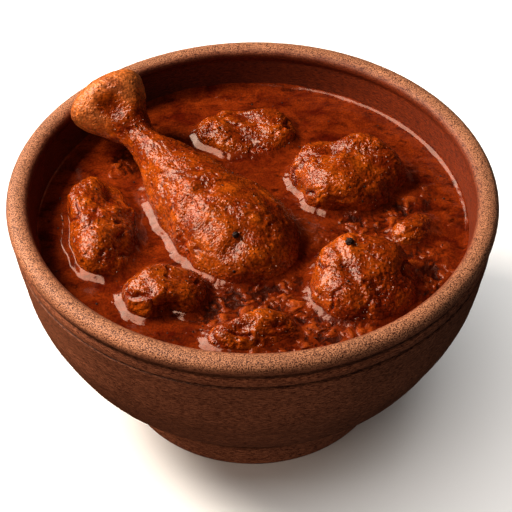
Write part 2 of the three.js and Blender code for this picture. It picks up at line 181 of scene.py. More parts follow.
# Dark spots on a piece, thick sauce and painted shade on shaded sides and in hollows: azimuth, elevation,
# width
SAUCE_AND_SHADE_SPOTS = {
    "chicken_left": [(-35, 58, 18), (-110, 30, 18)],
    "chicken_front_left": [(-88, 28, 24), (0, 45, 30)],
    "chicken_front": [(175, 78, 16), (-40, 50, 30)],
    "chicken_right_upper": [
        (124, 60, 14), (-45, 34, 34), (-118, 12, 20), (-5, 30, 36), (-20, 60, 18), (55, 30, 26)],
    "chicken_right_lower": [
        (-52, 45, 26), (5, 45, 34), (-128, 72, 14), (30, 20, 30), (70, 45, 24), (-85, 20, 20)],
    "chicken_right_small": [(-35, 30, 40)],
    "chicken_back": [(-88, 66, 24), (90, 70, 26)],
}
FIBRES = {  # which way the meat's strands run, how strongly its relief stands out, how patchy its sauce is
    "chicken_left": ((-0.3, 0.9, 0.2), 1.0, 0.0),
    "chicken_front_left": ((1, 0.2, 0.1), 1.0, 0.5),
    "chicken_front": ((1, 0.2, 0), 1.5, 0.5),
    "chicken_right_upper": ((0.5, -0.6, 0.6), 0.95, 0.7),
    "chicken_right_lower": ((0.2, -0.8, 0.6), 1.2, 0.7),
    "chicken_right_small": ((1, 0, 0), 1.7, 0.5),
    "chicken_back": ((1, 0.3, 0), 1.4, 0.7),
}
DRUMSTICK_PATCHY = 0.7
WET_BELOW, DRY_ABOVE, DRY_WAVER = 0.3, 3.2, 3.5  # levels from the sauce's top between which meat dries
LARGE_PIECE = 20  # half size from which a piece's mesh is finer
STRAND_WIDTH, DRUMSTICK_STRAND_WIDTH = 4.0, 4.4
FOLD_DEPTH, DRUMSTICK_FOLD_DEPTH = 1.0, 0.3
CRAG_WAVES = [((0.42, 0.31, 0.12), 0.4), ((-0.18, 0.37, -0.29), 2.1), ((0.26, -0.4, 0.34), 5)]
CRAG_BEND = 1.2
CRAG_HEIGHT = 0.9

# Relief of the coated meat, over its form: sizes and heights of its features
WARP_SIZE, WARP = 8, 2.6
LOBE_SIZE, LOBE_HEIGHT = 11, 0.4
PUFF_SIZE, PUFF_HEIGHT = 4.6, 0.4
CRUMB_SIZE, CRUMB_HEIGHT = 2, 0.22
GRAIN_SIZE, GRAIN_HEIGHT = 1.1, 0.13
PIT_SIZE, PIT_THRESHOLD, PIT_DEPTH = 3.4, 0.44, 2.2
FOLD_SIZE, FOLD_WIDTH, FOLDED_SIZE = 10, 0.2, 15  # folds come only here and there
PATCH_SIZE = 12  # patches where the coating is thick
STRAND_HEIGHT, PATCH_STRAND_HEIGHT, FINE_STRAND_HEIGHT = 0.16, 0.3, 0.14
FINER = 2.3  # how much finer the fine strands are
SUNK = (-6, -3)  # levels from the sauce's top, over which the relief comes in
FILLED_IN, FILLED_UP_TO = 0.7, 5  # how much of it the sauce fills in at its own level, and how far up


# ---------------------------------------------------------------- meshes

def mesh_object(name, bm, replaced=()):
    """Makes a smooth-shaded piece of a bmesh, rides it on the one body and frees the bmesh."""
    mesh = bpy.data.meshes.new(name)
    bm.to_mesh(mesh)
    bm.free()
    mesh.shade_smooth()
    piece = bpy.data.objects.new(name, mesh)
    bpy.context.scene.collection.objects.link(piece)
    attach(piece, "root")
    if replaced:
        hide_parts(*replaced)
    return piece


def smooth_run(points, steps):
    """Points along a smooth curve through a few outline points."""
    run = []
    last = len(points) - 1
    for step in range(steps + 1):
        place = step / steps * last
        i = min(int(place), last - 1)
        t = place - i
        p0, p1, p2, p3 = (Vector(points[min(max(j, 0), last)]) for j in (i - 1, i, i + 1, i + 2))
        out, back = (p2 - p0) / 2, (p3 - p1) / 2
        cubic, square = 2 * p1 - 2 * p2 + out + back, 3 * p2 - 3 * p1 - 2 * out - back
        run.append(cubic * t**3 + square * t**2 + out * t + p1)
    return run


def evenly(points, step):
    """The same run with points about one step apart, its corners kept where they are."""
    run = [points[0]]
    for a, b in zip(points, points[1:]):
        parts = max(1, round((b - a).length / step))
        run += [a.lerp(b, k / parts) for k in range(1, parts + 1)]
    return run


def spun(outline, turns):
    """A closed turned shape about +Z, in wedges, from an outline that starts and ends on the axis."""
    bm = bmesh.new()
    verts = [bm.verts.new((p.x * MM, 0, p.y * MM)) for p in outline]
    edges = [bm.edges.new(pair) for pair in zip(verts, verts[1:])]
    arc = math.tau / WEDGES
    bmesh.ops.spin(bm, geom=verts + edges, cent=(0, 0, 0), axis=(0, 0, 1), angle=arc, steps=turns // WEDGES)
    wedge = bm.verts[:] + bm.edges[:] + bm.faces[:]
    for k in range(1, WEDGES):
        copy = bmesh.ops.duplicate(bm, geom=wedge)["geom"]
        turned = [v for v in copy if isinstance(v, bmesh.types.BMVert)]
        bmesh.ops.rotate(bm, cent=(0, 0, 0), matrix=Matrix.Rotation(k * arc, 3, "Z"), verts=turned)
    bmesh.ops.remove_doubles(bm, verts=bm.verts, dist=0.01 * MM)
    bmesh.ops.recalc_face_normals(bm, faces=bm.faces)
    bm.faces.sort(key=lambda face: face.calc_center_median().dot(SLANT))
    return bm


def ripple(place, size, seed):
    """Smooth noise between about -1 and 1 with features of the given size in mm."""
    x, y, z = place
    return noise.noise(Vector((x / size + seed, y / size - seed, z / size + 2 * seed)))


def clamp(value, low=0.0, high=1.0):
    return min(max(value, low), high)


def ease(low, high, value):
    """0 below low, 1 above high and smooth between."""
    share = clamp((value - low) / (high - low))
    return share * share * (3 - 2 * share)


def hump(*shares):
    """A smooth hump: 1 in its middle, from the distances to that as shares of how far it reaches."""
    return math.exp(-sum(share * share for share in shares))


# ---------------------------------------------------------------- bowl

def inside_run(steps):
    return smooth_run(INSIDE, steps)


def bowl_outline():
    bead = [
        Vector((
            BEAD_MIDDLE + BEAD_HALF_WIDTH * math.cos(math.radians(a)),
            RIM_LEVEL + BEAD_HALF_HEIGHT * math.sin(math.radians(a)),
        ))
        for a in range(BEAD_START, BEAD_END + 1, BEAD_STEP)
    ]
    line = [
        Vector((
            LINE_RADIUS - LINE_DEPTH * math.cos(math.pi / 2 * k / 4) ** 2,
            LINE_LEVEL + LINE_HALF_WIDTH * k / 4,
        ))
        for k in range(-3, 4)
    ]
    foot = [Vector(point) for point in FOOT]
    outside = foot + smooth_run(BELLY, 90) + line + smooth_run(NECK, 12)
    return evenly(outside + bead + inside_run(100), BOWL_STEP)


def unevenness(x, y, z):
    """How far in mm the clay stands out at a place, from the thrower's fingers and from grit."""
    radius = max(math.hypot(x, y), 1)
    out = GRIT_HEIGHT * ripple((x, y, z), GRIT_SIZE, 0)
    for height, waves, rise, aside, along in THROWN:
        round_it = waves / radius
        out += height * noise.noise(Vector((round_it * x + aside, round_it * y, z / rise + along)))
    return out * ease(*FLAT_LEVELS, z)


def over_the_bead(x, y, z):
    """How far over the rim's bead a place is, in degrees from 0 at its outer side to 180 at its inner."""
    up = (z - RIM_LEVEL) / BEAD_HALF_HEIGHT
    out = (math.hypot(x, y) - BEAD_MIDDLE) / BEAD_HALF_WIDTH
    return math.degrees(math.atan2(up, out)) + BEAD_WAVER * ripple((x, y, z), 5, 6.1)


def make_bowl():
    bm = spun(bowl_outline(), BOWL_TURNS)
    rim = bm.verts.layers.float.new("rim")
    inside = bm.verts.layers.float.new("inside")
    painted_shade = bm.verts.layers.float.new("painted_shade")
    bm.normal_update()
    moves = []
    for v in bm.verts:
        x, y, z = v.co / MM
        moves.append(v.normal * (unevenness(x, y, z) * MM))
        radius = math.hypot(x, y)
        over = over_the_bead(x, y, z)
        on_wall = v.normal.dot(Vector((x, y, 0))) < 0 and radius < BEAD_MIDDLE
        on_bottom = z > BOTTOM_LEVEL and radius < BOTTOM_RADIUS
        # painted shade on the inside, darkest towards the back left, on the side that faces away from the
        # light
        side = (x * INSIDE_SHADE_SIDE[0] + y * INSIDE_SHADE_SIDE[1]) / max(radius, 1)
        inside_shade = INSIDE_SHADE * ease(*INSIDE_SHADE_SPREAD, side)
        # painted highlight and shade on the bead: sandy over its crest, darker towards its sides
        if z > SANDY_LEVEL:
            v[rim] = ease(*SANDY_STARTS, over) * (1 - SANDY_SHADE_SHARE * ease(*SANDY_FADES_INTO_SHADE, over))
        if z > RIM_LEVEL:
            v[inside] = ease(*SOAKED_STARTS, over)
            v[painted_shade] = inside_shade * ease(*INSIDE_SHADE_STARTS, over)
        elif on_wall or on_bottom:
            v[inside] = 1.0
            v[painted_shade] = inside_shade
        # painted shade high on the foot, under the belly
        elif z < FOOT_HEIGHT + 1:
            v[painted_shade] = FOOT_SHADE * ease(*FOOT_SHADE_LEVELS, z)
        else:
            # painted shade along the incised line and the neck under the bead
            v[painted_shade] = max(1 - ease(*CREASE_REACH, abs(z - level)) for level in CREASE_LEVELS)
    for v, move in zip(bm.verts, moves):
        v.co += move
    return mesh_object("bowl_clay", bm, replaced=("bowl",))


# ---------------------------------------------------------------- chicken

def crags(p):
    """Crags of cooked meat at a point in mm, between -1 and 1."""
    total = 0.0
    for along, shift in CRAG_WAVES:
        phase = along[0] * p[0] + along[1] * p[1] + along[2] * p[2] + shift
        total += math.sin(phase + CRAG_BEND * math.sin(phase / 2))
    return total / len(CRAG_WAVES)


def ridges(noise_value):
    """Sharp ridges from smooth noise, about as much above 0 as below."""
    return 1.8 * abs(noise_value) - 0.4


def meat_relief(p, fibre, strand_width, fold_depth):
    """Height in mm of the coated meat's surface over its form: lobes, fibres, crumbs, pits and folds."""
    warp = Vector(ripple(p, WARP_SIZE, seed) for seed in (3.1, 5.3, 9.7)) * WARP
    q = p + warp
    lengthways = q.dot(fibre)
    drawn = (q - fibre * lengthways) / strand_width + fibre * (lengthways / (4 * strand_width))
    strands = ridges(noise.noise(drawn))
    fine_strands = ridges(noise.noise(drawn * FINER + Vector((3, 7, 1))))
    lobes = ripple(q, LOBE_SIZE, 7.7)
    puffs = ridges(ripple(q, PUFF_SIZE, 1.3))
    crumbs = ridges(ripple(p + warp * 0.3, CRUMB_SIZE, 6.4))
    patch = ease(-0.1, 0.3, ripple(p, PATCH_SIZE, 21.5))
    grains = ripple(p, GRAIN_SIZE, 5.9)
    pits = max(0.0, ripple(p, PIT_SIZE, 12.1) - PIT_THRESHOLD)
    folds = max(0.0, 1 - abs(ripple(q, FOLD_SIZE, 15.5)) / FOLD_WIDTH) ** 2
    folds *= ease(-0.15, 0.2, ripple(p, FOLDED_SIZE, 41.2))
    coating = (0.4 + 0.6 * patch) * (PUFF_HEIGHT * puffs + CRUMB_HEIGHT * crumbs)
    fibres = (STRAND_HEIGHT + PATCH_STRAND_HEIGHT * patch) * strands + FINE_STRAND_HEIGHT * fine_strands
    hollows = fold_depth * folds + PIT_DEPTH * pits
    return LOBE_HEIGHT * lobes + fibres + coating + GRAIN_HEIGHT * grains - hollows


def coat_with_relief(bm, fibre, strand_width, fold_depth, strength):
    """Raises a form's surface by the meat's relief, as strongly as a function of the place says, and
    keeps the relief as an attribute."""
    relief = bm.verts.layers.float.new("relief")
    bm.normal_update()
    fibre = Vector(fibre).normalized()
    moves = []
    for v in bm.verts:
        place = v.co / MM
        above = place.z - SAUCE_LEVEL
        shown = ease(*SUNK, above)  # what is sunk stays plain
        shown *= 1 - FILLED_IN * (1 - ease(0, FILLED_UP_TO, above))
        height = shown * meat_relief(place, fibre, strand_width, fold_depth) if shown else 0.0
        v[relief] = height
        moves.append(v.normal * (height * strength(place) * MM))
    for v, move in zip(bm.verts, moves):
        v.co += move


def dark_with_sauce_and_shade(p, spots, patchy):
    """How dark a place is painted, from 0 to 1: by sauce at its own level and in patches, and by sauce and
    painted shade in named spots.
    """
    darkened = 1 - ease(WET_BELOW, DRY_ABOVE + DRY_WAVER * ripple(p, 7, 14.2), p.z - SAUCE_LEVEL)
    patches = patchy * ease(0.0, 0.4, ripple(p, 9, 30.3))
    return clamp(max(darkened, patches, spots * (1 + 0.8 * ripple(p, 5, 2.6))))


def direction(azimuth, elevation):
    a, e = math.radians(azimuth), math.radians(elevation)
    return Vector((math.cos(a) * math.cos(e), math.sin(a) * math.cos(e), math.sin(e)))


def make_piece(name, spec, fibre, strength, patchy):
    """A smaller piece of chicken: a rounded block with swells and hollows, then the meat's relief."""
    bm = bmesh.new()
    subdivisions = (8 if max(spec["half"]) > LARGE_PIECE else 7) - COARSE
    bmesh.ops.create_icosphere(bm, subdivisions=subdivisions, radius=1)
    sauce_and_shade = bm.verts.layers.float.new("sauce_and_shade")
    spots = [(direction(a, e), math.radians(width)) for a, e, width in SAUCE_AND_SHADE_SPOTS[name]]
    swells = [(direction(a, e), by, math.radians(width)) for a, e, by, width in spec["swells"]]
    blocky = spec["blocky"]
    for v in bm.verts:
        away = v.co.normalized()
        share = sum(abs(c) ** blocky for c in away) ** (-1 / blocky)
        spot = Vector(a * h * share for a, h in zip(away, spec["half"]))
        swell = sum(by * hump(away.angle(to, 0.0) / width) for to, by, width in swells)
        v.co = (spot + away * (swell + CRAG_HEIGHT * crags(spot))) * MM
        # dark spots of sauce, and painted shade on the shaded side and in hollows
        v[sauce_and_shade] = max(hump(away.angle(to, 0.0) / width) for to, width in spots)
    place = Matrix.Translation(Vector(spec["at"]) * MM) @ Matrix.Rotation(math.radians(spec["turn"]), 4, "Z")
    bmesh.ops.transform(bm, matrix=place, verts=bm.verts)
    for v in bm.verts:
        v[sauce_and_shade] = dark_with_sauce_and_shade(v.co / MM, v[sauce_and_shade], patchy)
    coat_with_relief(bm, fibre, STRAND_WIDTH, FOLD_DEPTH, lambda p: strength)
    return mesh_object(name + "_meat", bm, replaced=(name,))


def between(stations, along, key):
    """A smooth value at a distance along the bone."""
    last = len(stations) - 1
    i = 0
    while i < last - 1 and stations[i + 1][0] < along:
        i += 1
    t = clamp((along - stations[i][0]) / (stations[i + 1][0] - stations[i][0]))
    before, after = stations[max(i - 1, 0)][key], stations[min(i + 2, last)][key]
    a, b = stations[i][key], stations[i + 1][key]
    out, back = (b - before) / 2, (after - a) / 2
    leaving, arriving = t**3 - 2 * t**2 + t, t**3 - t**2
    return a + (b - a) * (3 * t**2 - 2 * t**3) + out * leaving + back * arriving


def cap_share(run_in, length):
    """The share of its full thickness that a rounded end has at a distance from its tip."""
    inner = 1 - clamp(run_in / length)
    return math.sqrt(max(1 - inner * inner, 0))


def angle_from(turn, around):
    """The angle in radians from a turn in degrees to one in radians, the short way round."""
    away = around - math.radians(turn)
    return math.atan2(math.sin(away), math.cos(away))


class Spine:
    """The drumstick's middle line, read by distance from the knuckle's end."""

    def __init__(self, points, steps):
        self.run = smooth_run(points, steps)
        self.far = [0.0]
        for a, b in zip(self.run, self.run[1:]):
            self.far.append(self.far[-1] + (b - a).length)
        self.length = self.far[-1]

    def at(self, along):
        """The point at a distance, and the way ahead from there."""
        along = clamp(along, 0, self.length)
        low, high = 0, len(self.far) - 1
        while high - low > 1:
            middle = (low + high) // 2
            low, high = (middle, high) if self.far[middle] <= along else (low, middle)
        share = (along - self.far[low]) / (self.far[high] - self.far[low])
        ahead = (self.run[high] - self.run[low]).normalized()
        return self.run[low].lerp(self.run[high], share), ahead


def drumstick_strength(p):
    """How strongly the relief stands out at a place: least on the knuckle, most at the meat's end."""
    far = (p - Vector(SPINE[0])).length
    on_shank = SHANK_RELIEF * ease(*SHANK_FROM_KNUCKLE, far)
    return KNUCKLE_RELIEF + on_shank + MEAT_END_RELIEF * ease(*MEAT_END_FROM_KNUCKLE, far)


def make_drumstick():
    """The drumstick: a ball drawn out along its spine, swollen and hollowed, then the meat's relief."""
    spine = Spine(SPINE, SPINE_STEPS)
    half_turn = [math.pi * k / DRUMSTICK_ROWS for k in range(DRUMSTICK_ROWS + 1)]
    ball = [Vector((math.sin(a), math.cos(a))) * DRUMSTICK_BALL for a in half_turn]
    bm = spun(ball, DRUMSTICK_TURNS)
    sauce_and_shade = bm.verts.layers.float.new("sauce_and_shade")
    skin = bm.verts.layers.float.new("skin")
    for v in bm.verts:
        along = (1 - v.co.z / (DRUMSTICK_BALL * MM)) / 2 * spine.length
        around = math.atan2(v.co.y, v.co.x)
        middle, ahead = spine.at(along)
        near = ahead.cross(UP).normalized()
        over = near.cross(ahead)
        cap = cap_share(along, KNUCKLE_CAP) * cap_share(spine.length - along, MEAT_CAP)
        swell = sum(
            by * hump((along - place) / length, angle_from(turn, around) / math.radians(arc))
            for place, turn, by, length, arc in DRUMSTICK_SWELLS
        )
        level = between(DRUMSTICK_STATIONS, along, 1) + swell
        upright = between(DRUMSTICK_STATIONS, along, 2) + swell
        cos, sin = math.cos(around), math.sin(around)
        bare = middle + near * (level * cap * cos) + over * (upright * cap * sin)
        rough = CRAG_HEIGHT * crags(bare) * clamp(along / SHANK_LENGTH)
        v.co = (bare + (near * (rough * cap * cos) + over * (rough * cap * sin))) * MM
        # dark spots of sauce, and painted shade on the shaded side and in hollows
        spots = max(
            hump((along - place) / length, angle_from(turn, around) / math.radians(arc))
            for place, turn, length, arc in DRUMSTICK_SAUCE_AND_SHADE_SPOTS
        )
        v[sauce_and_shade] = dark_with_sauce_and_shade(bare, spots, DRUMSTICK_PATCHY)
        v[skin] = 1 - ease(*BARE_SKIN_ENDS, along + BARE_SKIN_WAVER * ripple(bare, 6, 4.8))
        v[skin] *= 1 - ease(*DARK_SPOTS_HIDE_SKIN, spots)
    bmesh.ops.recalc_face_normals(bm, faces=bm.faces)
    fibre = Vector(SPINE[-1]) - Vector(SPINE[0])
    coat_with_relief(bm, fibre, DRUMSTICK_STRAND_WIDTH, DRUMSTICK_FOLD_DEPTH, drumstick_strength)
    return mesh_object("drumstick_meat", bm, replaced=("drumstick",))


# ---------------------------------------------------------------- sauce

def masala_share(x, y):
    """How lumpy the sauce is at a place, from 0 to 1."""
    near = sum(hump((x - cx) / reach, (y - cy) / reach) for cx, cy, reach in MASALA)
    return clamp(MASALA_EVERYWHERE + near + MASALA_WAVER * ripple((x, y, 0), 9, 3.3))


def masala_lumps(x, y):
    """How the masala's lumps stand at a place, in mm from the level, where they are fullest."""
    place = (x, y, 0)
    aside, along = (LUMP_WARP * ripple(place, LUMP_WARP_SIZE, seed) for seed in (2.9, 6.9))
    warped = (x + aside, y + along, 0)
    (large, wide), (middling, medium), (small, narrow) = LARGE_LUMPS, MIDDLING_LUMPS, SMALL_LUMPS
    lumps = large * ripple(warped, wide, 4.4) + middling * abs(ripple(warped, medium, 11.4))
    return lumps + small * abs(ripple(warped, narrow, 1.9)) - LUMPS_SUNK


def sauce_outline():
    wall = [Vector((p.x + INTO_WALL * min(1, p.x / 10), p.y)) for p in reversed(inside_run(40))]
    edge = SAUCE_RADIUS + INTO_WALL
    top = [Vector((edge - SAUCE_STEP * k, SAUCE_LEVEL)) for k in range(1, int(edge / SAUCE_STEP))]
    corner, middle = Vector((edge, SAUCE_LEVEL)), Vector((0, SAUCE_LEVEL))
    return evenly(wall[:-1], SAUCE_UNDER_STEP) + [corner, *top, middle]


def climb(away, width, height):
    """How high the sauce stands at a distance from what it clings to."""
    if away >= width:
        return 0.0
    share = 1 - away / width
    if share < MENISCUS_TOE:
        return height * share * share / (2 * MENISCUS_TOE)
    return height * (share - MENISCUS_TOE / 2)


def tree_of(pieces):
    """A search tree over some pieces' surfaces."""
    bm = bmesh.new()
    for piece in pieces:
        bm.from_mesh(piece.data)
    tree = BVHTree.FromBMesh(bm)
    bm.free()
    return tree


def distance_to(tree, x, y):
    """Distance in mm from a place at the meniscus's height to the nearest surface, and 0 inside it."""
    spot = Vector((x, y, SAUCE_LEVEL + MENISCUS_HEIGHT)) * MM
    hit, normal, _, away = tree.find_nearest(spot, FAR_FROM_MEAT * MM)
    if hit is None:
        return 2 * FAR_FROM_MEAT
    return 0.0 if (spot - hit).dot(normal) < 0 else away / MM


def make_sauce(pieces):
    """The sauce in its bowl: it clings to the chicken and the wall, and is lumpy where the masala lies."""
    tree = tree_of(pieces)
    bm = spun(sauce_outline(), SAUCE_TURNS)
    relief = bm.verts.layers.float.new("relief")
    clinging = []
    for v in bm.verts:
        x, y, z = v.co / MM
        if z < SAUCE_LEVEL - 0.01:
            continue  # the underside stays as it is
        place = (x, y, 0)
        away = distance_to(tree, x, y)
        if 0 < away < CLINGING_REACH:
            clinging.append(v)
        waver = 1 + sum(share * ripple(place, size, seed) for share, size, seed in MENISCUS_WAVER)
        lift = climb(away, MENISCUS_WIDTH * waver, MENISCUS_HEIGHT)
        wall = SAUCE_RADIUS - math.hypot(x, y)
        along_wall = 1 + 0.3 * ripple(place, 14, 5.1)
        along_wall *= LEFT_WALL_SHARE + (1 - LEFT_WALL_SHARE) * ease(*LEFT_WALL, x)
        lift += climb(max(wall, 0.0), WALL_MENISCUS_WIDTH * along_wall, WALL_MENISCUS_HEIGHT * along_wall)
        grains = masala_share(x, y) * masala_lumps(x, y)
        grains *= ease(*LUMPS_BY_WALL, wall) * (LUMPS_LEFT + (1 - LUMPS_LEFT) * ease(*LUMPS_BY_MEAT, away))
        calm = ease(*CALM_BY_MEAT, away) * ease(*CALM_BY_WALL, wall)
        waves = SWIRL * math.sin(SWIRL_ASIDE * x + 1) * math.cos(SWIRL_ALONG * y)
        waves += WAVES * ripple(place, 13, 8.8) + FINE_WAVES * ripple((x * 0.4, y, 0), 3.2, 6.1)
        v[relief] = grains
        v.co.z += (lift + waves * calm + LUMP_HEIGHT * grains) * MM
    bmesh.ops.smooth_vert(bm, verts=clinging, factor=0.5, use_axis_z=True)
    for face in bm.faces:  # the second material is for the masala
        height = sum(v[relief] for v in face.verts) / len(face.verts)
        face.material_index = int(height < CREVICE_RELIEF or height > CREST_RELIEF)
    return mesh_object("curry_sauce", bm, replaced=("sauce",))


# ---------------------------------------------------------------- spices

def make_peppercorn(number, piece, node, x, y, radius):
    """A wrinkled peppercorn, nearly half of it sunk in a piece."""
    top = tree_of([piece]).ray_cast(Vector((x, y, HIGH_UP)) * MM, -UP)[0]
    bm = bmesh.new()
    bmesh.ops.create_icosphere(bm, subdivisions=5, radius=radius)
    for v in bm.verts:
        wrinkle = abs(ripple(v.co, 0.5 * radius, 3.7 * number))
        v.co *= (PEPPER_CORE + PEPPER_WRINKLES * wrinkle) * MM
    bmesh.ops.translate(bm, verts=bm.verts, vec=top + UP * (PEPPER_STANDS * radius * MM))
    return mesh_object(f"peppercorn_{number}", bm, replaced=(node,))


def make_flecks(tree):
    """Chips of cracked spice lying on what is under them."""
    draw = random.Random(FLECK_SEED)
    small, large = FLECK_SIZES
    bm = bmesh.new()
    placed = 0
    while placed < FLECKS:
        x, y = draw.uniform(-FLECK_REACH, FLECK_REACH), draw.uniform(-FLECK_REACH, FLECK_REACH)
        if math.hypot(x, y) > FLECK_REACH:
            continue
        placed += 1
        hit, normal, _, _ = tree.ray_cast(Vector((x, y, HIGH_UP)) * MM, -UP)
        size = (small + (large - small) * draw.random() ** 2) * MM
        flat = Matrix.Diagonal((size, size * draw.uniform(0.5, 0.9), size * FLECK_HEIGHT, 1))
        upright = normal.to_track_quat("Z", "Y").to_matrix().to_4x4()
        place = Matrix.Translation(hit) @ upright @ Matrix.Rotation(draw.uniform(0, math.tau), 4, "Z") @ flat
        chip = bmesh.ops.create_icosphere(bm, subdivisions=1, radius=1)["verts"]
        for v in chip:
            v.co *= draw.uniform(0.7, 1.2)
        bmesh.ops.transform(bm, matrix=place, verts=chip)
    return mesh_object("spice_flecks", bm)


# ---------------------------------------------------------------- materials

def linear(hex_colour):
    """An sRGB hex colour as linear red, green, blue and full alpha."""
    shares = [int(hex_colour[i:i + 2], 16) / 255 for i in (1, 3, 5)]
    return [s / 12.92 if s <= 0.04045 else ((s + 0.055) / 1.055) ** 2.4 for s in shares] + [1.0]


def add_node(tree, kind, settings=None, links=None):
    """Adds a node, sets its properties and sockets, and links its inputs from other nodes' sockets."""
    node = tree.nodes.new(kind)
    for key, value in (settings or {}).items():
        if isinstance(key, str) and hasattr(node, key):
            setattr(node, key, value)
        else:
            node.inputs[key].default_value = value
    for key, socket in (links or {}).items():
        tree.links.new(socket, node.inputs[key])
    return node


def new_material(name):
    material = bpy.data.materials.new(name)
    material.use_nodes = True
    tree = material.node_tree
    tree.nodes.clear()
    return material, tree


def per(size_mm):
    """Noise scale whose features are about this many mm wide, on coordinates in metres."""
    return 1 / (size_mm * MM)


def terracotta_thrown():
    # Unglazed terracotta, thrown on a wheel and fired: semi-matt brown-red with a soft sheen on the rim,
    # fine light and dark grit all over, and level streaks left by the thrower's fingers. The bead's sandy
    # crest is partly its own lighter clay and partly a painted highlight; painted shade darkens its inner
    # and outer lower sides, the creases, the foot under the belly and the inside towards the back left.
    material, tree = new_material("terracotta_thrown")
    spot = add_node(tree, "ShaderNodeTexCoord").outputs["Object"]
    rim = add_node(tree, "ShaderNodeAttribute", {"attribute_name": "rim"}).outputs["Fac"]
    inside = add_node(tree, "ShaderNodeAttribute", {"attribute_name": "inside"}).outputs["Fac"]
    painted_shade = add_node(tree, "ShaderNodeAttribute", {"attribute_name": "painted_shade"}).outputs["Fac"]
    level = add_node(tree, "ShaderNodeMapping", {"Scale": (0.12, 0.12, 1.0)}, {"Vector": spot})
    streaks = add_node(tree, "ShaderNodeTexNoise", {"Scale": per(0.2), "Detail": 2.0, "Roughness": 0.5},
                       {"Vector": level.outputs["Vector"]})
    grit = add_node(tree, "ShaderNodeTexNoise", {"Scale": per(0.42), "Detail": 1.0, "Roughness": 0.6},
                    {"Vector": spot})
    patches = add_node(tree, "ShaderNodeTexNoise", {"Scale": per(24), "Detail": 3.0}, {"Vector": spot})
    gritty = add_node(tree, "ShaderNodeMath", {"operation": "MULTIPLY_ADD", 1: 0.75, 2: 0.25}, {0: rim})
    grain = add_node(tree, "ShaderNodeMix", {"data_type": "FLOAT"}, {
        0: gritty.outputs["Value"], 2: streaks.outputs["Fac"], 3: grit.outputs["Fac"],
    }).outputs[0]
    body, sandy, soaked = (add_node(tree, "ShaderNodeValToRGB", None, {"Fac": grain}) for _ in range(3))
    for ramp, dark_at, dark, light_at, light in (
        (body, 0.39, "#481B0E", 0.63, "#AC6644"),
        (sandy, 0.38, "#40190D", 0.61, "#C8865F"),
        (soaked, 0.35, "#3C0F04", 0.7, "#8A3410"),
    ):
        low, high = ramp.color_ramp.elements
        low.position, low.color = dark_at, linear(dark)
        high.position, high.color = light_at, linear(light)
    # the sandy crest is partly a painted highlight; the bead's sides stay darker as painted shade
    outer = add_node(tree, "ShaderNodeMix", {"data_type": "RGBA"},
                     {0: rim, 6: body.outputs["Color"], 7: sandy.outputs["Color"]})
    inner = add_node(tree, "ShaderNodeMix", {"data_type": "RGBA"},
                     {0: inside, 6: outer.outputs[2], 7: soaked.outputs["Color"]})
    shade = add_node(tree, "ShaderNodeMapRange",
                     {"From Min": 0.3, "From Max": 0.7, "To Min": 0.85, "To Max": 1.1},
                     {"Value": patches.outputs["Fac"]})
    # painted shade: the creases, the foot under the belly and the inside towards the back left are darkened
    shade_darkening = add_node(tree, "ShaderNodeMapRange", {"To Min": 1.0, "To Max": 0.35}, {"Value": painted_shade})
    shades = add_node(tree, "ShaderNodeMath", {"operation": "MULTIPLY"},
                      {0: shade.outputs["Result"], 1: shade_darkening.outputs["Result"]})
    final = add_node(tree, "ShaderNodeVectorMath", {"operation": "SCALE"},
                     {0: inner.outputs[2], "Scale": shades.outputs["Value"]})
    bump = add_node(tree, "ShaderNodeBump", {"Strength": 0.8, "Distance": 0.14 * MM}, {"Height": grain})
    shader = add_node(tree, "ShaderNodeBsdfPrincipled",
                      {"Roughness": 0.55, "IOR": 1.5, "Specular IOR Level": 0.16},
                      {"Base Color": final.outputs[0], "Normal": bump.outputs["Normal"]})
    add_node(tree, "ShaderNodeOutputMaterial", None, {"Surface": shader.outputs["BSDF"]})
    return material


def drops(tree, spot, size, share, height, under):
    """Bump of small drops and seeds about so many mm apart, on a share of the places, over another bump."""
    cells = add_node(tree, "ShaderNodeTexVoronoi", {"Scale": per(size)}, {"Vector": spot})
    dome = add_node(tree, "ShaderNodeMapRange",
                    {"From Min": 0.1, "From Max": 0.34, "To Min": 1.0, "To Max": 0.0},
                    {"Value": cells.outputs["Distance"]})
    there = add_node(tree, "ShaderNodeMath", {"operation": "LESS_THAN", 1: share},
                     {0: cells.outputs["Color"]})
    shown = add_node(tree, "ShaderNodeMath", {"operation": "MULTIPLY"},
                     {0: dome.outputs["Result"], 1: there.outputs["Value"]})
    return add_node(tree, "ShaderNodeBump", {"Strength": 1.0, "Distance": height * MM},
                    {"Height": shown.outputs["Value"], "Normal": under.outputs["Normal"]})


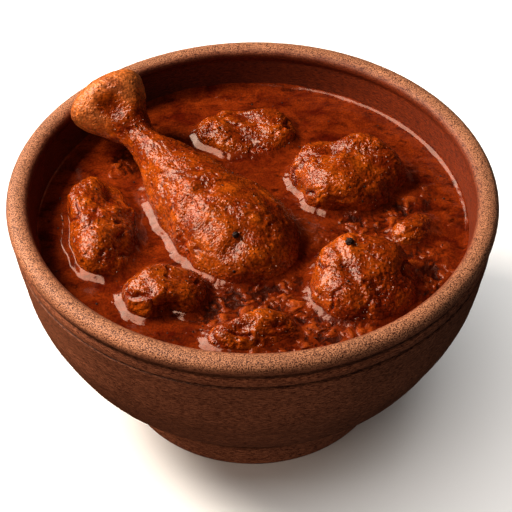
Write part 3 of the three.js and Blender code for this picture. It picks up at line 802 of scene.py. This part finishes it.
def onion_and_tomato(name, oiliness):
    """Onion and tomato cooked down with ground spice, glossy with the oil that stands on it."""
    material, tree = new_material(name)
    spot = add_node(tree, "ShaderNodeTexCoord").outputs["Object"]
    relief = add_node(tree, "ShaderNodeAttribute", {"attribute_name": "relief"}).outputs["Fac"]
    drawn = add_node(tree, "ShaderNodeMapping", {"Scale": (0.7, 1, 1)}, {"Vector": spot})
    slow = add_node(tree, "ShaderNodeTexNoise",
                    {"Scale": per(8), "Detail": 6.0, "Roughness": 0.68, "Distortion": 0.4},
                    {"Vector": drawn.outputs["Vector"]})
    blots = add_node(tree, "ShaderNodeTexNoise", {"Scale": per(3), "Detail": 4.0, "Roughness": 0.6},
                     {"Vector": drawn.outputs["Vector"]})
    grain = add_node(tree, "ShaderNodeTexNoise", {"Scale": per(0.7), "Detail": 2.0, "Roughness": 0.65},
                     {"Vector": spot})
    base = add_node(tree, "ShaderNodeValToRGB", None, {"Fac": slow.outputs["Fac"]})
    low, high = base.color_ramp.elements
    low.position, low.color = 0.36, linear("#480E03")
    high.position, high.color = 0.64, linear("#7C2A08")
    dark = add_node(tree, "ShaderNodeMapRange",
                    {"From Min": 0.3, "From Max": 0.44, "To Min": 0.9, "To Max": 0.0},
                    {"Value": blots.outputs["Fac"]})
    spiced = add_node(tree, "ShaderNodeMix", {"data_type": "RGBA", 7: linear("#300A02")},
                      {0: dark.outputs["Result"], 6: base.outputs["Color"]})
    # painted shade: the crevices between the masala's lumps are darkened
    crevice = add_node(tree, "ShaderNodeMapRange",
                       {"From Min": -0.45, "From Max": -0.05, "To Min": 0.9, "To Max": 0.0},
                       {"Value": relief})
    deep = add_node(tree, "ShaderNodeMix", {"data_type": "RGBA", 7: linear("#260702")},
                    {0: crevice.outputs["Result"], 6: spiced.outputs[2]})
    crest = add_node(tree, "ShaderNodeMapRange",
                     {"From Min": 0.1, "From Max": 0.9, "To Min": 0.0, "To Max": 0.8},
                     {"Value": relief})
    raised = add_node(tree, "ShaderNodeMix", {"data_type": "RGBA", 7: linear("#A8450F")},
                      {0: crest.outputs["Result"], 6: deep.outputs[2]})
    flecked = add_node(tree, "ShaderNodeMapRange",
                       {"From Min": 0.3, "From Max": 0.7, "To Min": 0.6, "To Max": 1.38},
                       {"Value": grain.outputs["Fac"]})
    final = add_node(tree, "ShaderNodeVectorMath", {"operation": "SCALE"},
                     {0: raised.outputs[2], "Scale": flecked.outputs["Result"]})
    lumpy = add_node(tree, "ShaderNodeMath", {"operation": "ABSOLUTE"}, {0: relief})
    coarse = add_node(tree, "ShaderNodeMapRange",
                      {"From Min": 0.05, "From Max": 0.4, "To Min": 0.1, "To Max": 1.0},
                      {"Value": lumpy.outputs["Value"]})
    pulp = add_node(tree, "ShaderNodeMath", {"operation": "MULTIPLY"},
                    {0: grain.outputs["Fac"], 1: coarse.outputs["Result"]})
    bump = add_node(tree, "ShaderNodeBump", {"Strength": 1.0, "Distance": 0.3 * MM},
                    {"Height": pulp.outputs["Value"]})
    dropped = drops(tree, spot, size=2.6, share=0.12, height=0.16, under=bump)
    gloss = add_node(tree, "ShaderNodeMapRange",
                     {"From Min": 0.05, "From Max": 0.5, "To Min": 0.12, "To Max": 0.36},
                     {"Value": lumpy.outputs["Value"]})
    shader = add_node(tree, "ShaderNodeBsdfPrincipled",
                      {"IOR": 1.45, "Specular IOR Level": oiliness, "Specular Tint": linear("#FFD6C2")},
                      {"Base Color": final.outputs[0], "Roughness": gloss.outputs["Result"],
                       "Normal": dropped.outputs["Normal"]})
    add_node(tree, "ShaderNodeOutputMaterial", None, {"Surface": shader.outputs["BSDF"]})
    return material


def curry_gravy():
    # Thick sauce under a film of oil: deep red-brown and glossy, with level streaks of orange oil,
    # dark spice and fine grain.
    return onion_and_tomato("curry_gravy", 0.34)


def masala_paste():
    # The same sauce where it is lumpy and no oil stands: darkened in the crevices as painted shade,
    # orange-brown on the crests, and nearly without gloss.
    return onion_and_tomato("masala_paste", 0.08)


def chicken_coated():
    # Chicken braised with its skin, coated in oily spice paste: orange-brown on the ridges, darker red in
    # the relief's hollows, where sauce pools and as painted shade, dark red where sauce lies on it and as
    # painted shade on its shaded sides, tan where the skin is bare, and a wet gloss that grains of spice
    # break into specks. The grains are drawn as coarse as 0.8 mm, so that they show.
    material, tree = new_material("chicken_coated")
    spot = add_node(tree, "ShaderNodeTexCoord").outputs["Object"]
    relief = add_node(tree, "ShaderNodeAttribute", {"attribute_name": "relief"}).outputs["Fac"]
    sauce_and_shade = add_node(tree, "ShaderNodeAttribute", {"attribute_name": "sauce_and_shade"}).outputs["Fac"]
    skin = add_node(tree, "ShaderNodeAttribute", {"attribute_name": "skin"}).outputs["Fac"]
    drawn = add_node(tree, "ShaderNodeMapping", {"Scale": (0.7, 1, 1)}, {"Vector": spot})
    slow = add_node(tree, "ShaderNodeTexNoise", {"Scale": per(7), "Detail": 4.0}, {"Vector": spot})
    strokes = add_node(tree, "ShaderNodeTexNoise", {"Scale": per(0.9), "Detail": 3.0, "Roughness": 0.65},
                       {"Vector": drawn.outputs["Vector"]})
    grain = add_node(tree, "ShaderNodeTexNoise", {"Scale": per(0.8), "Detail": 1.0, "Roughness": 0.5},
                     {"Vector": spot})
    # darker red the lower the relief stands: pooled sauce and painted shade in its hollows and folds
    height = add_node(tree, "ShaderNodeMapRange", {"From Min": -0.9, "From Max": 0.9}, {"Value": relief})
    base = add_node(tree, "ShaderNodeValToRGB", None, {"Fac": height.outputs["Result"]})
    low, high = base.color_ramp.elements
    low.position, low.color = 0.2, linear("#641A04")
    high.position, high.color = 0.75, linear("#BE540C")
    warm = add_node(tree, "ShaderNodeMapRange",
                    {"From Min": 0.4, "From Max": 0.65, "To Min": 0.0, "To Max": 0.65},
                    {"Value": slow.outputs["Fac"]})
    varied = add_node(tree, "ShaderNodeMix", {"data_type": "RGBA", 7: linear("#842806")},
                      {0: warm.outputs["Result"], 6: base.outputs["Color"]})
    skinned = add_node(tree, "ShaderNodeMix", {"data_type": "RGBA", 7: linear("#C4682C")},
                       {0: skin, 6: varied.outputs[2]})
    # painted shade: this share darkens the meat on its shaded sides and in hollows as well as under sauce
    sauce_and_shade_weight = add_node(tree, "ShaderNodeMath", {"operation": "MULTIPLY", 1: 0.85}, {0: sauce_and_shade})
    darkened = add_node(tree, "ShaderNodeMix", {"data_type": "RGBA", 7: linear("#5E1604")},
                   {0: sauce_and_shade_weight.outputs["Value"], 6: skinned.outputs[2]})
    flecked = add_node(tree, "ShaderNodeMapRange",
                       {"From Min": 0.36, "From Max": 0.64, "To Min": 0.5, "To Max": 1.42},
                       {"Value": strokes.outputs["Fac"]})
    final = add_node(tree, "ShaderNodeVectorMath", {"operation": "SCALE"},
                     {0: darkened.outputs[2], "Scale": flecked.outputs["Result"]})
    rougher = add_node(tree, "ShaderNodeMapRange",
                       {"From Min": 0.42, "From Max": 0.58, "To Min": 1.0, "To Max": 1.6},
                       {"Value": slow.outputs["Fac"]})
    coat = add_node(tree, "ShaderNodeMath", {"operation": "MULTIPLY"},
                    {0: grain.outputs["Fac"], 1: rougher.outputs["Result"]})
    bump = add_node(tree, "ShaderNodeBump", {"Strength": 1.0, "Distance": 0.27 * MM},
                    {"Height": coat.outputs["Value"]})
    dropped = drops(tree, spot, size=1.7, share=0.5, height=0.3, under=bump)
    gloss = add_node(tree, "ShaderNodeMapRange", {"To Min": 0.12, "To Max": 0.32}, {"Value": skin})
    shader = add_node(tree, "ShaderNodeBsdfPrincipled",
                      {"IOR": 1.45, "Specular IOR Level": 0.4, "Specular Tint": linear("#FFF4E8")},
                      {"Base Color": final.outputs[0], "Roughness": gloss.outputs["Result"],
                       "Normal": dropped.outputs["Normal"]})
    add_node(tree, "ShaderNodeOutputMaterial", None, {"Surface": shader.outputs["BSDF"]})
    return material


def black_pepper():
    # Dried black pepper, whole and cracked: nearly black, with a little oil from the sauce on it.
    material, tree = new_material("black_pepper")
    shader = add_node(tree, "ShaderNodeBsdfPrincipled", {
        "Base Color": linear("#20100A"), "Roughness": 0.5, "IOR": 1.45, "Specular IOR Level": 0.2,
    })
    add_node(tree, "ShaderNodeOutputMaterial", None, {"Surface": shader.outputs["BSDF"]})
    return material


def floor_board():
    # Matt painted board: plain, pale and without gloss.
    material, tree = new_material("floor_board")
    shader = add_node(tree, "ShaderNodeBsdfPrincipled", {
        "Base Color": linear("#EDEBE8"), "Roughness": 0.9, "Specular IOR Level": 0.2,
    })
    add_node(tree, "ShaderNodeOutputMaterial", None, {"Surface": shader.outputs["BSDF"]})
    return material


# ---------------------------------------------------------------- studio

CAMERA_DISTANCE = 630  # from the middle of the rim
CAMERA_RISE = 41.563  # degrees above the rim, seen from its middle
CAMERA_PITCH = 43.681  # degrees that the camera looks down
CAMERA_ASIDE = 1.25  # mm to the right of the bowl's middle
FOCAL_PIXELS = 1715.9  # of a picture PICTURE_PIXELS wide
PICTURE_PIXELS = 512
SENSOR = 36.0  # mm wide
NEAREST_SEEN = 0.05  # metres
FOOD_MIDDLE = 70  # level that the lights face
FLOOR_HALF = 2.0  # metres
SHEEN_TURN = 50  # of this long light in its own plane, so that it rises from the back to the front


def make_camera():
    rise = math.radians(CAMERA_RISE)
    data = bpy.data.cameras.new("camera")
    data.sensor_width = SENSOR
    data.lens = FOCAL_PIXELS * SENSOR / PICTURE_PIXELS
    data.clip_start = NEAREST_SEEN
    camera = bpy.data.objects.new("camera", data)
    behind = -CAMERA_DISTANCE * math.cos(rise)
    camera.location = Vector((CAMERA_ASIDE, behind, RIM_LEVEL + CAMERA_DISTANCE * math.sin(rise))) * MM
    camera.rotation_euler = (math.radians(90 - CAMERA_PITCH), 0, 0)
    bpy.context.scene.collection.objects.link(camera)
    bpy.context.scene.camera = camera


def make_softbox(name, towards, sides, power, colour, turn=0, distance=1.0):
    """A soft light facing the food from an azimuth and elevation, its sides and distance in metres."""
    data = bpy.data.lights.new(name, "AREA")
    data.shape = "RECTANGLE"
    data.size, data.size_y = sides
    data.energy = power
    data.color = linear(colour)[:3]
    lamp = bpy.data.objects.new(name, data)
    away = direction(*towards)
    lamp.location = Vector((0, 0, FOOD_MIDDLE)) * MM + away * distance
    facing = away.to_track_quat("Z", "Y") @ Quaternion((0, 0, 1), math.radians(turn))
    lamp.rotation_euler = facing.to_euler()
    bpy.context.scene.collection.objects.link(lamp)
    return lamp


def lit_only_by(lamp, name, pieces):
    """Limits a lamp to the given pieces."""
    receivers = bpy.data.collections.new(name)
    for piece in pieces:
        receivers.objects.link(piece)
    lamp.light_linking.receiver_collection = receivers


def make_floor():
    bm = bmesh.new()
    bmesh.ops.create_grid(bm, x_segments=2, y_segments=2, size=FLOOR_HALF)
    mesh = bpy.data.meshes.new("floor")
    bm.to_mesh(mesh)
    bm.free()
    mesh.materials.append(floor_board())
    floor = bpy.data.objects.new("floor", mesh)
    floor.visible_diffuse = False
    floor.visible_glossy = False
    bpy.context.scene.collection.objects.link(floor)
    return floor


def make_lights(floor, meat):
    key = make_softbox("key_light", (164, 44), (0.4, 0.4), 20.5, "#FFF3E6")
    key.visible_glossy = False
    fill = make_softbox("front_fill", (225, 22), (1.0, 1.0), 3.7, "#FFE4CE")
    fill.visible_glossy = False
    sheen = make_softbox("sheen_light", (159, 48), (1.35, 0.58), 34, "#FFEEDC", turn=SHEEN_TURN)
    sheen.visible_diffuse = False
    glint = make_softbox("glint_light", (201, 32), (0.28, 0.26), 3.8, "#FFE8D2")
    glint.visible_diffuse = False
    lit_only_by(glint, "lit_by_glint_light", meat)
    lift = make_softbox("floor_fill", (0, 90), (1.6, 1.6), 30, "#FFFFFF", distance=1.6)
    lit_only_by(lift, "lit_by_floor_fill", [floor])


def make_air():
    world = bpy.data.worlds.new("studio_air")
    world.use_nodes = True
    background = world.node_tree.nodes["Background"]
    background.inputs["Color"].default_value = linear("#FFFFFF")
    background.inputs["Strength"].default_value = 0.12
    bpy.context.scene.world = world
    world.cycles_visibility.glossy = False
    bpy.context.scene.view_settings.view_transform = "Standard"


# ---------------------------------------------------------------- the dish

def finish_with(material, *pieces):
    for piece in pieces:
        piece.data.materials.append(material)


make_camera()
bowl = make_bowl()
drumstick = make_drumstick()
chunks = {name: make_piece(name, spec, *FIBRES[name]) for name, spec in PIECES.items()}
chicken = {"drumstick": drumstick, **chunks}
sauce = make_sauce(chicken.values())
corns = [
    make_peppercorn(k + 1, chicken[node], node, x, y, radius)
    for k, (node, x, y, radius) in enumerate(PEPPERCORNS)
]
flecks = make_flecks(tree_of([sauce, *chicken.values()]))
finish_with(terracotta_thrown(), bowl)
finish_with(chicken_coated(), *chicken.values())
finish_with(curry_gravy(), sauce)
finish_with(masala_paste(), sauce)
finish_with(black_pepper(), flecks, *corns)
make_lights(make_floor(), [drumstick, chicken["chicken_left"]])
make_air()
